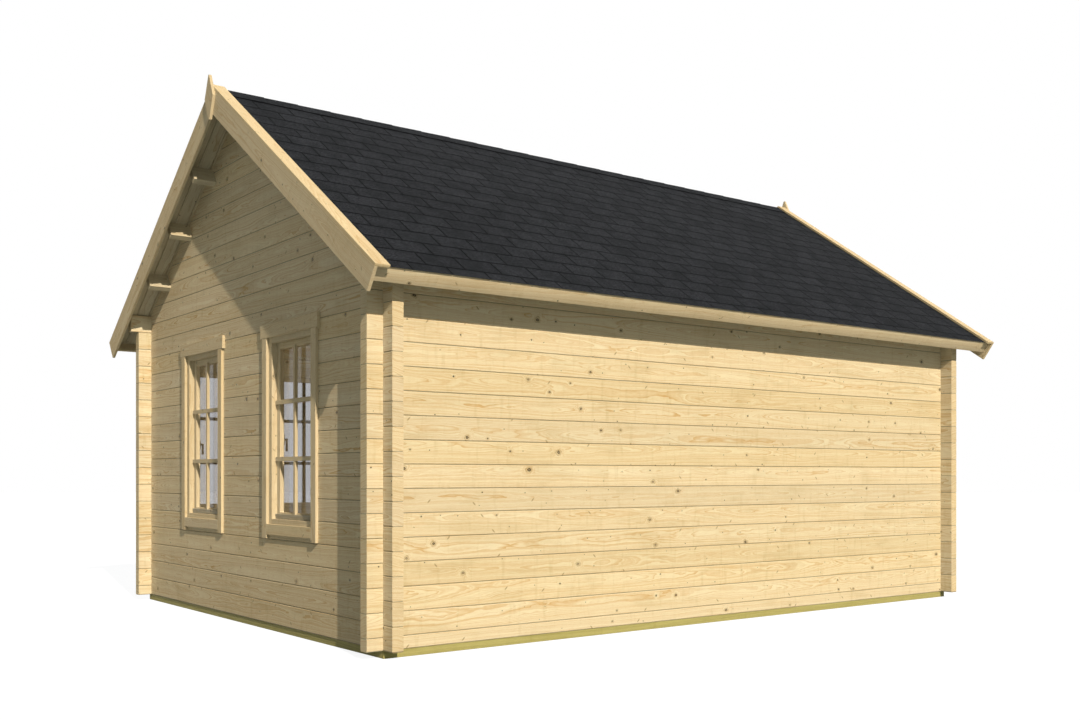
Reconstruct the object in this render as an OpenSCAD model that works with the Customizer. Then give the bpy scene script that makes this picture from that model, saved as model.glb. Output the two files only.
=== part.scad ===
// Log cabin of interlocking squared logs under a shingled gable roof.
// The long walls run along X and the gable walls along Y, centred on the origin.
// z = 0 is the underside of the foundation beams. Sizes are in millimetres.

/* [Walls] */
// Length over the outer faces of the two gable walls
wall_length = 5300; // [4900:10:6500]
// Width over the outer faces of the two long walls
wall_width = 3800; // [3400:10:4600]
// Thickness of a log
log_thick = 70; // [56:1:90]
// Height of a log, from joint to joint
log_pitch = 135; // [128:1:142]
// Full logs in a long wall, over its half-height starter log
long_wall_courses = 16; // [15:1:18]
// Extra height of the lowest course, under its first joint
starter_extra = 5; // [0:1:15]
// Length of the crossed log ends beyond the corner
log_end = 100; // [60:5:150]
// Chamfer along each log joint
joint_chamfer = 5; // [2:0.5:8]
// Width of the tongue on top of a log
tongue_width = 26; // [16:1:34]
// Height of the tongue
tongue_height = 8; // [4:1:12]

/* [Base] */
// Height of the foundation beams and floor bearers
foundation_height = 45; // [40:1:95]
// Width of a foundation beam
foundation_width = 95; // [90:1:120]
// Setback of the foundation beams behind the wall's outer face
foundation_setback = 8; // [0:1:20]
// Width of a floor bearer
bearer_width = 60; // [40:1:100]
// Largest spacing of the floor bearers
bearer_spacing = 600; // [400:10:700]
// Thickness of the floor boards
floor_thick = 19; // [16:1:28]

/* [Roof] */
// Roof pitch in degrees
roof_pitch = 34.5; // [30:0.5:38]
// Flat land left at the inner edge of the top log's bevel
bevel_land = 20; // [5:1:40]
// Level distance from a long wall's outer face to the cut end of the barge boards
eave_overhang = 281; // [200:1:360]
// Overhang of the barge board's face beyond the gable wall
verge_overhang = 218; // [200:1:300]
// Overhang of the purlins and the top logs beyond the gable wall
purlin_overhang = 160; // [120:1:178]
// Width of a purlin along the slope
purlin_width = 45; // [35:1:60]
// Depth of a purlin under the roof boards
purlin_depth = 125; // [95:1:145]
// Distance down the slope from the ridge to the first purlin
first_purlin = 650; // [600:1:700]
// Spacing of the purlins down the slope
purlin_spacing = 556; // [450:1:570]
// Thickness of the roof boards
roof_board_thick = 20; // [16:1:28]
// Distance from the shingles' lower edge to the cut end of the barge boards
shingle_inset = 24; // [0:1:30]
// Thickness of the shingle layer
shingle_thick = 5; // [3:0.5:10]
// Thickness of the ridge capping
cap_thick = 4; // [2:0.5:8]
// Width of the ridge capping down each slope
cap_width = 92; // [70:1:200]
// Width of a barge board
barge_width = 142; // [120:1:180]
// Thickness of the barge boards, fascias and finials
trim_thick = 20; // [16:1:28]
// Width of the cover board over the verge
cover_width = 90; // [70:1:120]
// Thickness of the cover board
cover_thick = 18; // [14:1:24]
// Width of a fascia
fascia_width = 88; // [70:1:110]
// Distance from the fascia's face to the cut end of the barge boards
fascia_inset = 30; // [5:1:40]
// Height of the lozenge finial
finial_height = 300; // [240:5:360]
// Widest width of the finial
finial_width = 144; // [100:2:180]
// Height of the finial's tip over the cover boards at the ridge
finial_rise = 57; // [40:1:90]

/* [Windows] */
// Clear width of a gable window inside its frame
gable_window_width = 556; // [460:2:640]
// Distance between the centre lines of a gable's two windows
gable_window_spacing = 1456; // [1400:2:1600]
// Shift of a gable's windows from the centre line towards the back wall
gable_window_shift = 14; // [-40:1:40]
// Space between the casings of the door and of a front window
front_window_door_gap = 37; // [5:1:100]
// Space between a front window's casing and the gable wall
front_window_corner_gap = 133; // [100:1:300]
// Height of the clear opening above the foundation beams
window_sill = 676; // [650:1:720]
// Clear height of a window inside its frame
window_height = 1132; // [1050:1:1160]
// Thickness of the frame at the sides
jamb_thick = 62; // [50:1:80]
// Thickness of the frame at the top and bottom
head_thick = 58; // [45:1:80]
// Face of the frame that shows beside the casing
jamb_lip = 41; // [20:1:45]
// Face of the frame that shows under the header and over the apron
head_lip = 33; // [20:1:40]
// Width of the sash stiles and rails
stile_width = 42; // [38:1:60]
// Thickness of a sash
sash_thick = 33; // [30:1:40]
// Setback of a sash behind the wall's outer face
sash_setback = 37; // [20:1:38]
// Setback of the glass behind the front of its sash
glass_setback = 24; // [10:0.5:26]
// Thickness of the glass
glass_thick = 4; // [3:0.5:5]
// Depth of the glass in the grooves round it
glass_edge = 9; // [5:1:15]
// Width of the casing boards at the sides
casing_width = 66; // [60:1:90]
// Height of the casing board over the top
casing_header = 90; // [66:1:120]
// Projection of the header past each side board
header_ear = 24; // [0:1:30]
// Thickness of the header
header_thick = 21; // [20:1:28]
// Height of the casing board under the sill
casing_apron = 69; // [60:1:100]
// Length of the side boards below the apron board
casing_tail = 24; // [0:1:40]
// Thickness of the casing boards
casing_thick = 20; // [14:1:24]
// Width of the casing boards inside
inner_casing_width = 80; // [70:1:90]
// Thickness of the casing boards inside
inner_casing_thick = 16; // [12:1:20]

/* [Door] */
// Clear width of the double door
door_width = 1360; // [1200:5:1440]
// Courses of logs that the doorway cuts, over the starter log
door_courses = 14; // [13:1:15]
// Thickness of the door frame
door_frame_thick = 45; // [35:1:55]
// Face of the door frame that shows beside the casing
door_lip = 20; // [10:1:30]
// Thickness of a door leaf
leaf_thick = 44; // [36:1:50]
// Setback of the leaves behind the wall's outer face
leaf_setback = 14; // [5:1:20]
// Width of a leaf's stiles and top rail
leaf_stile = 100; // [80:1:120]
// Height of the solid lower part of a leaf
leaf_panel = 620; // [400:10:800]

/* [Handles] */
// Height of a window's handle above the bottom of the clear opening
window_handle_height = 510; // [450:1:650]
// Height of the door's handle above the bottom of the leaves
door_handle_height = 1000; // [900:5:1100]
// Length of a window handle's lever
window_lever = 75; // [60:1:120]
// Distance from a window handle's plate to its lever's centre line
window_standoff = 26; // [24:1:50]
// Length of the door handles' levers
door_lever = 120; // [90:1:140]
// Diameter of a lever
lever_diameter = 14; // [12:1:20]
// Height of a handle's back plate
plate_height = 70; // [55:1:100]
// Width of a handle's back plate
plate_width = 28; // [24:1:40]
// Thickness of a handle's back plate
plate_thick = 8; // [4:1:10]
// Distance from a door handle's plate to its lever's centre line
door_standoff = 45; // [35:1:60]

/* [Clearances] */
// Gap between pieces that lie against each other
seat_gap = 0.3; // [0.2:0.1:0.6]
// Gap all round a sash or a door leaf
sash_gap = 0.6; // [0.4:0.1:0.8]

/* [Hidden] */
$fn = 32;
pine = "#ecd2a0";
shade_pine = "#cdb586";
treated = "#b9ad68";
charcoal = "#3a3c40";
pane_blue = "#a9bcc8";
bronze = "#3a2d24";
// Far beyond the cabin, for the cutting shapes
far = 9000;

// Heights of the walls
log_base = foundation_height + seat_gap;
wall_top = log_base + starter_extra + log_pitch / 2 + long_wall_courses * log_pitch;
// Top of the gap under log i of a gable wall, which lies half a log off the long walls
function gable_joint(i) = i == 0 ? log_base : log_base + starter_extra + i * log_pitch;
// Underside of full log j of a long wall; log 0 is the half-height starter
function long_joint(j) = j == 0 ? log_base : log_base + starter_extra + (j - 0.5) * log_pitch;
// Seam k between the lapped halves of the logs in a corner
function lap_seam(k) = log_base + starter_extra + log_pitch / 4 + k * log_pitch / 2;

// Length of the slope from the ridge to the cut end of the barge boards
slope_length = (wall_width / 2 + eave_overhang) / cos(roof_pitch);
// Underside of the roof boards at the ridge and at a distance y from the centre plane
ridge_under = wall_top + (wall_width / 2 - log_thick + bevel_land) * tan(roof_pitch);
function roof_under(y) = ridge_under - abs(y) * tan(roof_pitch);
// Heights above the roof boards' underside, square to the slope
shingle_level = roof_board_thick + seat_gap;
cover_level = shingle_level + shingle_thick + seat_gap;
// Gable logs up to the ridge
gable_logs = ceil((ridge_under - gable_joint(1)) / log_pitch) + 1;
// Gable logs that cross the long walls
crossing_logs = long_wall_courses;
// Place along X of the verge's parts
barge_face = wall_length / 2 + verge_overhang;
barge_back = barge_face - trim_thick;
purlins = [for (k = [0:2]) first_purlin + k * purlin_spacing];
// The front windows, with two sashes each, fill the wall between the door and the gables
casing_reach = jamb_lip + casing_width + header_ear;
front_window_start = door_width / 2 + door_lip + casing_width + header_ear
    + front_window_door_gap + casing_reach;
front_window_end = wall_length / 2 - log_thick - front_window_corner_gap - casing_reach;
front_window_width = front_window_end - front_window_start;
front_window_offset = (front_window_start + front_window_end) / 2;

// Extrudes an outline drawn in Y and Z along X, from x0 to x1
module along_x(x0, x1) {
    translate([x0, 0, 0])
        rotate([90, 0, 90])
            linear_extrude(height = x1 - x0)
                children();
}

// Box from one corner to the other
module box(low, high) {
    translate(low)
        cube(high - low);
}

// Cross-section of a log: chamfered edges, a groove below and a tongue above
module log_section(height, grooved, tongued) {
    top = height - seat_gap;
    mid = log_thick / 2;
    tongue = tongue_width / 2;
    groove = tongue + seat_gap;
    polygon(concat(
        [[0, joint_chamfer], [joint_chamfer, 0]],
        grooved ? [[mid - groove, 0], [mid - groove + 1, tongue_height + seat_gap],
            [mid + groove - 1, tongue_height + seat_gap], [mid + groove, 0]] : [],
        [[log_thick - joint_chamfer, 0], [log_thick, joint_chamfer],
            [log_thick, top - joint_chamfer], [log_thick - joint_chamfer, top]],
        tongued ? [[mid + tongue, top], [mid + tongue - 1, top + tongue_height],
            [mid - tongue + 1, top + tongue_height], [mid - tongue, top]] : [],
        [[joint_chamfer, top], [0, top - joint_chamfer]]));
}

// The space under the roof boards, over the whole cabin
module under_roof() {
    along_x(-far, far)
        polygon([[0, ridge_under - seat_gap], [far, roof_under(far) - seat_gap],
            [far, -far], [-far, -far], [-far, roof_under(far) - seat_gap]]);
}

// Full log j of the long wall at -Y, notched where the gable walls cross it
module long_wall_log(j) {
    top_log = j == long_wall_courses;
    reach = wall_length / 2 + (top_log ? purlin_overhang : log_end);
    low = long_joint(j);
    high = long_joint(j + 1);
    difference() {
        translate([0, -wall_width / 2, low])
            along_x(-reach, reach)
                log_section(high - low, j > 0, !top_log);
        for (side = [-1, 1], end = [0, 1])
            if (!(end == 0 && j == 0) && !(end == 1 && top_log))
                translate([side * (wall_length - log_thick) / 2, 0, end == 0
                    ? lap_seam(2 * j - 1) - far / 2 : lap_seam(2 * j) - seat_gap + far / 2])
                    cube([log_thick + 2 * seat_gap, far, far], center = true);
    }
}

// The long wall at -Y, the top log bevelled to the roof
module long_wall() {
    for (j = [0:long_wall_courses - 1])
        long_wall_log(j);
    intersection() {
        long_wall_log(long_wall_courses);
        under_roof();
    }
}

// Log i of the gable wall at -X: the lower logs cross the long walls, the upper ones fit between
// the roof slopes
module gable_log(i) {
    crossing = i < crossing_logs;
    reach = crossing ? wall_width / 2 + log_end : wall_width / 2 - log_thick - seat_gap;
    low = gable_joint(i);
    high = gable_joint(i + 1);
    difference() {
        translate([-wall_length / 2, reach, low])
            rotate([90, 0, 0])
                linear_extrude(height = 2 * reach)
                    log_section(high - low, i > 0, true);
        if (crossing)
            for (side = [-1, 1], end = [0, 1])
                translate([0, side * (wall_width - log_thick) / 2, end == 0
                    ? lap_seam(2 * i) - far / 2 : lap_seam(2 * i + 1) - seat_gap + far / 2])
                    cube([far, log_thick + 2 * seat_gap, far], center = true);
    }
}

// Places its children on the roof slope at -Y: Y runs down the slope and Z square to it
module on_back_slope() {
    translate([0, 0, ridge_under])
        rotate([roof_pitch, 0, 0])
            mirror([0, 1, 0])
                children();
}

// Board lying in the slope at -Y, from x0 to x1, mitred at the ridge
module slope_board(x0, x1, slope_end, low, high) {
    intersection() {
        on_back_slope()
            box([x0, -far / 10, low], [x1, slope_end, high]);
        box([-far, -far, -far], [far, -seat_gap / 2, far]);
    }
}

// A purlin's place on the slope at -Y, with a clearance round it
module purlin_bar(down, reach, gap) {
    on_back_slope()
        box([-reach, down - gap, -purlin_depth - seat_gap - gap],
            [reach, down + purlin_width + gap, gap > 0 ? far : -seat_gap]);
}

// The gable wall at -X
module gable_wall() {
    difference() {
        intersection() {
            union()
                for (i = [0:gable_logs - 1])
                    gable_log(i);
            under_roof();
        }
        for (side = [-1, 1])
            at_gable_window(side)
                rough_opening(gable_window_width);
        for (down = purlins, side = [0, 1])
            mirror([0, side, 0])
                purlin_bar(down, far, seat_gap);
        ridge_bar(far, seat_gap);
    }
}

// The upright purlin under the ridge, with a clearance round it
module ridge_bar(reach, gap) {
    high = roof_under(purlin_width / 2) - seat_gap;
    box([-reach, -purlin_width / 2 - gap, high - purlin_depth - gap],
        [reach, purlin_width / 2 + gap, high + (gap > 0 ? far : 0)]);
}

// Places a window drawn with Y running inwards from the wall's outer face and z = 0 at the
// bottom of its clear opening
module at_gable_window(side) {
    translate([-wall_length / 2, side * gable_window_spacing / 2 - gable_window_shift,
        foundation_height + window_sill])
        rotate([0, 0, -90])
            children();
}

module at_front_window(side) {
    translate([side * front_window_offset, wall_width / 2, foundation_height + window_sill])
        rotate([0, 0, 180])
            children();
}

// The space that a window's frame fills in the logs
module rough_opening(clear_width) {
    side = clear_width / 2 + jamb_thick + seat_gap;
    box([-side, -far / 10, -head_thick - seat_gap],
        [side, log_thick + far / 100, window_height + head_thick + seat_gap]);
}

module window_frame(clear_width) {
    side = clear_width / 2;
    difference() {
        box([-side - jamb_thick, 0, -head_thick],
            [side + jamb_thick, log_thick, window_height + head_thick]);
        box([-side, -1, 0], [side, log_thick + 1, window_height]);
    }
}

// One sash between x0 and x1, grooved for its glass
module sash(x0, x1, height) {
    difference() {
        box([x0, sash_setback, sash_gap], [x1, sash_setback + sash_thick, height - sash_gap]);
        box([x0 + stile_width, -1, sash_gap + stile_width],
            [x1 - stile_width, log_thick + far / 100, height - sash_gap - stile_width]);
        pane(x0, x1, height, glass_edge + seat_gap, seat_gap);
    }
}

// The glass of a sash between x0 and x1, reaching a way into the stiles, with a clearance
module pane(x0, x1, height, edge, gap) {
    face = sash_setback + glass_setback;
    inset = sash_gap + stile_width - edge;
    box([x0 + stile_width - edge, face - gap, inset],
        [x1 - stile_width + edge, face + glass_thick + gap, height - inset]);
}

// The edges of the sashes of a window, as pairs
function sash_edges(clear_width, count) = [for (k = [0:count - 1]) [
    -clear_width / 2 + k * clear_width / count + sash_gap,
    -clear_width / 2 + (k + 1) * clear_width / count - sash_gap]];

module window_sashes(clear_width, count) {
    for (edges = sash_edges(clear_width, count))
        sash(edges[0], edges[1], window_height);
}

module window_panes(clear_width, count) {
    for (edges = sash_edges(clear_width, count))
        pane(edges[0], edges[1], window_height, glass_edge, 0);
}

// The boards round a window: side boards, header and apron outside, four plain boards inside
module window_casing(clear_width) {
    clear = clear_width / 2;
    side = clear + jamb_lip;
    ends = clear + casing_reach;
    top = window_height + head_lip;
    inside = log_thick + seat_gap;
    box([-ends, -header_thick - seat_gap, top + seat_gap],
        [ends, -seat_gap, top + casing_header]);
    box([-side + seat_gap, -casing_thick - seat_gap, -head_lip - casing_apron],
        [side - seat_gap, -seat_gap, -head_lip]);
    for (k = [0, 1])
        mirror([k, 0, 0]) {
            box([side, -casing_thick - seat_gap, -head_lip - casing_apron - casing_tail],
                [side + casing_width, -seat_gap, top]);
            box([clear, inside, 0],
                [clear + inner_casing_width, inside + inner_casing_thick, window_height]);
        }
    for (low = [-inner_casing_width, window_height + seat_gap])
        box([-clear - inner_casing_width, inside, low],
            [clear + inner_casing_width, inside + inner_casing_thick,
                low + inner_casing_width - seat_gap]);
}

// A lever handle on a plate, drawn on the plane y = 0 with the lever pointing down
module lever_handle(length, standoff) {
    box([-plate_width / 2, 0, -plate_height / 2], [plate_width / 2, plate_thick, plate_height / 2]);
    rotate([-90, 0, 0])
        cylinder(h = standoff, d = lever_diameter);
    translate([0, standoff, -length])
        cylinder(h = length + lever_diameter / 2, d = lever_diameter);
}

// The doorway's sizes
doorway_top = long_joint(door_courses + 1);
door_base = log_base + door_frame_thick;
door_height = doorway_top - door_base - door_frame_thick - seat_gap;

module at_door() {
    translate([0, wall_width / 2, door_base])
        rotate([0, 0, 180])
            children();
}

// Left edge of door leaf k, its right edge, and the edges of its glass
function leaf_edge(k, e) = (k - 1 + e) * door_width / 2 + (e == 0 ? sash_gap : -sash_gap);

module leaf_glass(k, edge, thick) {
    mid = leaf_setback + leaf_thick / 2;
    box([leaf_edge(k, 0) + leaf_stile - edge, mid - thick / 2, leaf_panel - edge],
        [leaf_edge(k, 1) - leaf_stile + edge, mid + thick / 2, door_height - leaf_stile + edge]);
}

// One door leaf, k = 0 or 1: a glazed upper part over a solid lower part
module door_leaf(k) {
    difference() {
        box([leaf_edge(k, 0), leaf_setback, sash_gap],
            [leaf_edge(k, 1), leaf_setback + leaf_thick, door_height - sash_gap]);
        box([leaf_edge(k, 0) + leaf_stile, -1, leaf_panel],
            [leaf_edge(k, 1) - leaf_stile, log_thick + far / 100, door_height - leaf_stile]);
        leaf_glass(k, glass_edge + seat_gap, glass_thick + 2 * seat_gap);
    }
}

// ---- Nodes ----

module foundation_beams() {
    color(treated) {
        x = wall_length / 2 - foundation_setback;
        y = wall_width / 2 - foundation_setback;
        for (k = [0, 1]) {
            mirror([0, k, 0])
                box([-x, -y, 0], [x, -y + foundation_width, foundation_height]);
            mirror([k, 0, 0])
                box([-x, -y + foundation_width + seat_gap, 0],
                    [-x + foundation_width, y - foundation_width - seat_gap, foundation_height]);
        }
    }
}

module floor_bearers() {
    color(treated) {
        inner = wall_length / 2 - foundation_setback - foundation_width;
        reach = wall_width / 2 - foundation_setback - foundation_width - seat_gap;
        bays = ceil(2 * inner / bearer_spacing);
        for (k = [1:bays - 1])
            translate([-inner + 2 * inner * k / bays - bearer_width / 2, -reach, 0])
                cube([bearer_width, 2 * reach, foundation_height]);
    }
}

module floor_boards() {
    x = wall_length / 2 - log_thick - seat_gap;
    y = wall_width / 2 - log_thick - seat_gap;
    color(shade_pine)
        box([-x, -y, log_base], [x, y, log_base + floor_thick]);
}

module back_wall_logs() {
    color(pine)
        long_wall();
}

module front_wall_logs() {
    color(pine)
        difference() {
            mirror([0, 1, 0])
                long_wall();
            for (side = [-1, 1])
                at_front_window(side)
                    rough_opening(front_window_width);
            box([-door_width / 2 - door_frame_thick - seat_gap, 0, 0],
                [door_width / 2 + door_frame_thick + seat_gap, far, doorway_top]);
        }
}

module left_gable_logs() {
    color(pine)
        gable_wall();
}

module right_gable_logs() {
    color(pine)
        mirror([1, 0, 0])
            gable_wall();
}

module ridge_purlin() {
    color(shade_pine)
        ridge_bar(wall_length / 2 + purlin_overhang, 0);
}

module back_purlins() {
    color(shade_pine)
        for (down = purlins)
            purlin_bar(down, wall_length / 2 + purlin_overhang, 0);
}

module front_purlins() {
    mirror([0, 1, 0])
        back_purlins();
}

module back_roof_boards() {
    x = barge_back - seat_gap;
    color(shade_pine)
        slope_board(-x, x, slope_length - fascia_inset - trim_thick - seat_gap,
            0, roof_board_thick);
}

module front_roof_boards() {
    mirror([0, 1, 0])
        back_roof_boards();
}

module back_shingles() {
    x = barge_back - seat_gap;
    color(charcoal)
        slope_board(-x, x, slope_length - shingle_inset, shingle_level, shingle_level + shingle_thick);
}

module front_shingles() {
    mirror([0, 1, 0])
        back_shingles();
}

module ridge_cap() {
    x = barge_face - cover_width - seat_gap;
    color(charcoal)
        for (k = [0, 1])
            mirror([0, k, 0])
                slope_board(-x, x, cap_width, cover_level, cover_level + cap_thick);
}

module back_fascia() {
    x = barge_back - seat_gap;
    face = slope_length - fascia_inset;
    color(pine)
        on_back_slope()
            box([-x, face - trim_thick, roof_board_thick - fascia_width],
                [x, face, roof_board_thick]);
}

module front_fascia() {
    mirror([0, 1, 0])
        back_fascia();
}

module left_back_barge() {
    top = cover_level - seat_gap;
    color(pine)
        slope_board(-barge_face, -barge_back, slope_length, top - barge_width, top);
}

module left_front_barge() {
    mirror([0, 1, 0])
        left_back_barge();
}

module right_back_barge() {
    mirror([1, 0, 0])
        left_back_barge();
}

module right_front_barge() {
    mirror([1, 0, 0])
        left_front_barge();
}

module left_back_cover() {
    color(pine)
        slope_board(-barge_face, -barge_face + cover_width, slope_length,
            cover_level, cover_level + cover_thick);
}

module left_front_cover() {
    mirror([0, 1, 0])
        left_back_cover();
}

module right_back_cover() {
    mirror([1, 0, 0])
        left_back_cover();
}

module right_front_cover() {
    mirror([1, 0, 0])
        left_front_cover();
}

// A lozenge board with blunt tips, over the joint of the barge boards
module left_finial() {
    tip = ridge_under + (cover_level + cover_thick) / cos(roof_pitch) + finial_rise;
    low = tip - finial_height;
    half = finial_width / 2;
    color(pine)
        along_x(-barge_face - trim_thick - seat_gap, -barge_face - seat_gap)
            polygon([[-half / 6, low], [half / 6, low], [half, (low + tip) / 2],
                [half / 12, tip], [-half / 12, tip], [-half, (low + tip) / 2]]);
}

module right_finial() {
    mirror([1, 0, 0])
        left_finial();
}

module left_window_frames() {
    color(shade_pine)
        for (side = [-1, 1])
            at_gable_window(side)
                window_frame(gable_window_width);
}

module left_window_sashes() {
    color(shade_pine)
        for (side = [-1, 1])
            at_gable_window(side)
                window_sashes(gable_window_width, 1);
}

module left_window_glass() {
    color(pane_blue)
        for (side = [-1, 1])
            at_gable_window(side)
                window_panes(gable_window_width, 1);
}

module left_window_casings() {
    color(pine)
        for (side = [-1, 1])
            at_gable_window(side)
                window_casing(gable_window_width);
}

module right_window_frames() {
    mirror([1, 0, 0])
        left_window_frames();
}

module right_window_sashes() {
    mirror([1, 0, 0])
        left_window_sashes();
}

module right_window_glass() {
    mirror([1, 0, 0])
        left_window_glass();
}

module right_window_casings() {
    mirror([1, 0, 0])
        left_window_casings();
}

module front_window_frames() {
    color(shade_pine)
        for (side = [-1, 1])
            at_front_window(side)
                window_frame(front_window_width);
}

module front_window_sashes() {
    color(shade_pine)
        for (side = [-1, 1])
            at_front_window(side)
                window_sashes(front_window_width, 2);
}

module front_window_glass() {
    color(pane_blue)
        for (side = [-1, 1])
            at_front_window(side)
                window_panes(front_window_width, 2);
}

module front_window_casings() {
    color(pine)
        for (side = [-1, 1])
            at_front_window(side)
                window_casing(front_window_width);
}

// One handle on the inner face of each window's sash
module window_handles() {
    inner_face = sash_setback + sash_thick + seat_gap;
    color(bronze) {
        for (end = [0, 1], side = [-1, 1])
            mirror([end, 0, 0])
                at_gable_window(side)
                    translate([-gable_window_width / 2 + stile_width / 2, inner_face,
                        window_handle_height])
                        lever_handle(window_lever, window_standoff);
        for (side = [-1, 1])
            at_front_window(side)
                translate([sash_gap + stile_width / 2, inner_face, window_handle_height])
                    lever_handle(window_lever, window_standoff);
    }
}

module door_frame() {
    side = door_width / 2;
    color(shade_pine)
        at_door()
            difference() {
                box([-side - door_frame_thick, 0, -door_frame_thick],
                    [side + door_frame_thick, log_thick, door_height + door_frame_thick]);
                box([-side, -1, 0], [side, log_thick + 1, door_height]);
            }
}

module door_leaves() {
    color(pine)
        at_door()
            for (k = [0, 1])
                door_leaf(k);
}

module door_glass() {
    color(pane_blue)
        at_door()
            for (k = [0, 1])
                leaf_glass(k, glass_edge, glass_thick);
}

module door_casings() {
    clear = door_width / 2;
    side = clear + door_lip;
    ends = side + casing_width + header_ear;
    top = door_height + door_lip;
    inside = log_thick + seat_gap;
    color(pine)
        at_door() {
            box([-ends, -header_thick - seat_gap, top + seat_gap],
                [ends, -seat_gap, top + casing_header]);
            box([-clear - inner_casing_width, inside, door_height + seat_gap],
                [clear + inner_casing_width, inside + inner_casing_thick,
                    door_height + inner_casing_width]);
            for (k = [0, 1])
                mirror([k, 0, 0]) {
                    box([side, -casing_thick - seat_gap, -door_frame_thick],
                        [side + casing_width, -seat_gap, top]);
                    box([clear, inside, floor_thick + seat_gap - door_frame_thick],
                        [clear + inner_casing_width, inside + inner_casing_thick, door_height]);
                }
        }
}

// A lever handle on each face of the leaf that opens first
module door_handles() {
    color(bronze)
        at_door()
            translate([leaf_stile / 2, 0, door_handle_height]) {
                translate([0, leaf_setback + leaf_thick + seat_gap, 0])
                    lever_handle(door_lever, door_standoff);
                translate([0, leaf_setback - seat_gap, 0])
                    mirror([0, 1, 0])
                        lever_handle(door_lever, door_standoff);
            }
}

foundation_beams();
floor_bearers();
floor_boards();
back_wall_logs();
front_wall_logs();
left_gable_logs();
right_gable_logs();
ridge_purlin();
back_purlins();
front_purlins();
back_roof_boards();
front_roof_boards();
back_shingles();
front_shingles();
ridge_cap();
back_fascia();
front_fascia();
left_back_barge();
left_front_barge();
right_back_barge();
right_front_barge();
left_back_cover();
left_front_cover();
right_back_cover();
right_front_cover();
left_finial();
right_finial();
left_window_frames();
left_window_sashes();
left_window_glass();
left_window_casings();
right_window_frames();
right_window_sashes();
right_window_glass();
right_window_casings();
front_window_frames();
front_window_sashes();
front_window_glass();
front_window_casings();
window_handles();
door_frame();
door_leaves();
door_glass();
door_casings();
door_handles();
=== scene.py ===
import math

import bmesh
import bpy
from mathutils import Matrix, Vector


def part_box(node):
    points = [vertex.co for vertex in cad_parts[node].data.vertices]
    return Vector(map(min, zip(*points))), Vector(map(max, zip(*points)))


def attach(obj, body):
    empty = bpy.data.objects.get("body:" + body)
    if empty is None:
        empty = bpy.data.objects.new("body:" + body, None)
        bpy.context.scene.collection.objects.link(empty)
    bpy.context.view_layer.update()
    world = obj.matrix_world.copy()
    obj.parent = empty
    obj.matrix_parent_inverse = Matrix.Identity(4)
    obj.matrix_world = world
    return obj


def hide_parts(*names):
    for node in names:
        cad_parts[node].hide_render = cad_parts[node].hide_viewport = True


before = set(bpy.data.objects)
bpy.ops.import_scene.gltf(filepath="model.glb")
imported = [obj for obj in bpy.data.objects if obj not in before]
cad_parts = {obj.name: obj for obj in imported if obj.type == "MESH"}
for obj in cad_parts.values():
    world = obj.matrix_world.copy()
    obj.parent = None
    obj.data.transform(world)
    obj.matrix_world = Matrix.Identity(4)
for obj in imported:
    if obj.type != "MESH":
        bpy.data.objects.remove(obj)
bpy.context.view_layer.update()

# ---------------------------------------------------------------------------------------------
# Ground, sun and sky
# The cabin stands on flat pale ground. A clear sun comes in over the plain back wall, so the
# eaves and verges throw crisp shadows, and a pale sky fills the shade.
scene = bpy.context.scene
scene.view_settings.view_transform = "Standard"


def stand(name, data):
    """Puts a camera, a lamp or a mesh into the scene."""
    made = bpy.data.objects.new(name, data)
    scene.collection.objects.link(made)
    return made


def shining(*way):
    """The turn of a lamp that shines along way."""
    return Vector(way).to_track_quat("-Z", "Y").to_euler()


camera = stand("camera", bpy.data.cameras.new("camera"))
camera.location = (-5.743, -7.338, 1.003)
camera.rotation_euler = (math.radians(90), 0, math.radians(-37.474))
camera.data.sensor_width = 36
camera.data.lens = 37.99
camera.data.shift_y = 0.1065
camera.data.clip_end = 300
scene.camera = camera

sun = stand("sun", bpy.data.lights.new("sun", "SUN"))
sun.data.energy = 3.12
sun.data.color = (1.0, 0.965, 0.92)
sun.data.angle = math.radians(0.5)
sun.rotation_euler = shining(0.180, 0.832, -0.522)

# Broad, soft light from the far side keeps the front wall readable in its own shade.
soft_fill = stand("soft_fill", bpy.data.lights.new("soft_fill", "SUN"))
soft_fill.data.energy = 1.7
soft_fill.data.angle = math.radians(50)
soft_fill.rotation_euler = shining(-0.55, -0.75, -0.36)

# A weak round light inside stands for the daylight that fills the room.
room_light = stand("room_light", bpy.data.lights.new("room_light", "POINT"))
room_light.location = (0, 0, 1.9)
room_light.data.energy = 30
room_light.data.color = (0.95, 1.0, 1.0)
room_light.data.shadow_soft_size = 0.6
room_light.visible_camera = False
for helper in (soft_fill, room_light):
    helper.visible_transmission = False
    helper.visible_glossy = False


def put(tree, kind, *feeds, **settings):
    """Adds a node, sets its options, and feeds its inputs in order with links or values."""
    made = tree.nodes.new("ShaderNode" + kind)
    for option, value in settings.items():
        setattr(made, option, value)
    for socket, feed in zip(made.inputs, feeds):
        if isinstance(feed, bpy.types.NodeSocket):
            tree.links.new(feed, socket)
        elif feed is not None:
            socket.default_value = feed
    return made


def calc(tree, operation, *feeds, clamp=False):
    """One step of arithmetic on numbers."""
    return put(tree, "Math", *feeds, operation=operation, use_clamp=clamp).outputs[0]


def split(tree, vector):
    """The three numbers of a place or a colour."""
    return put(tree, "SeparateXYZ", vector).outputs


def seen_white(tree):
    """1 for rays that come from the eye, a mirror or glass, which meet a white background."""
    ray = put(tree, "LightPath").outputs
    seen = calc(tree, "ADD", ray["Is Camera Ray"], ray["Is Glossy Ray"])
    return calc(tree, "ADD", seen, ray["Is Transmission Ray"], clamp=True)


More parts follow.
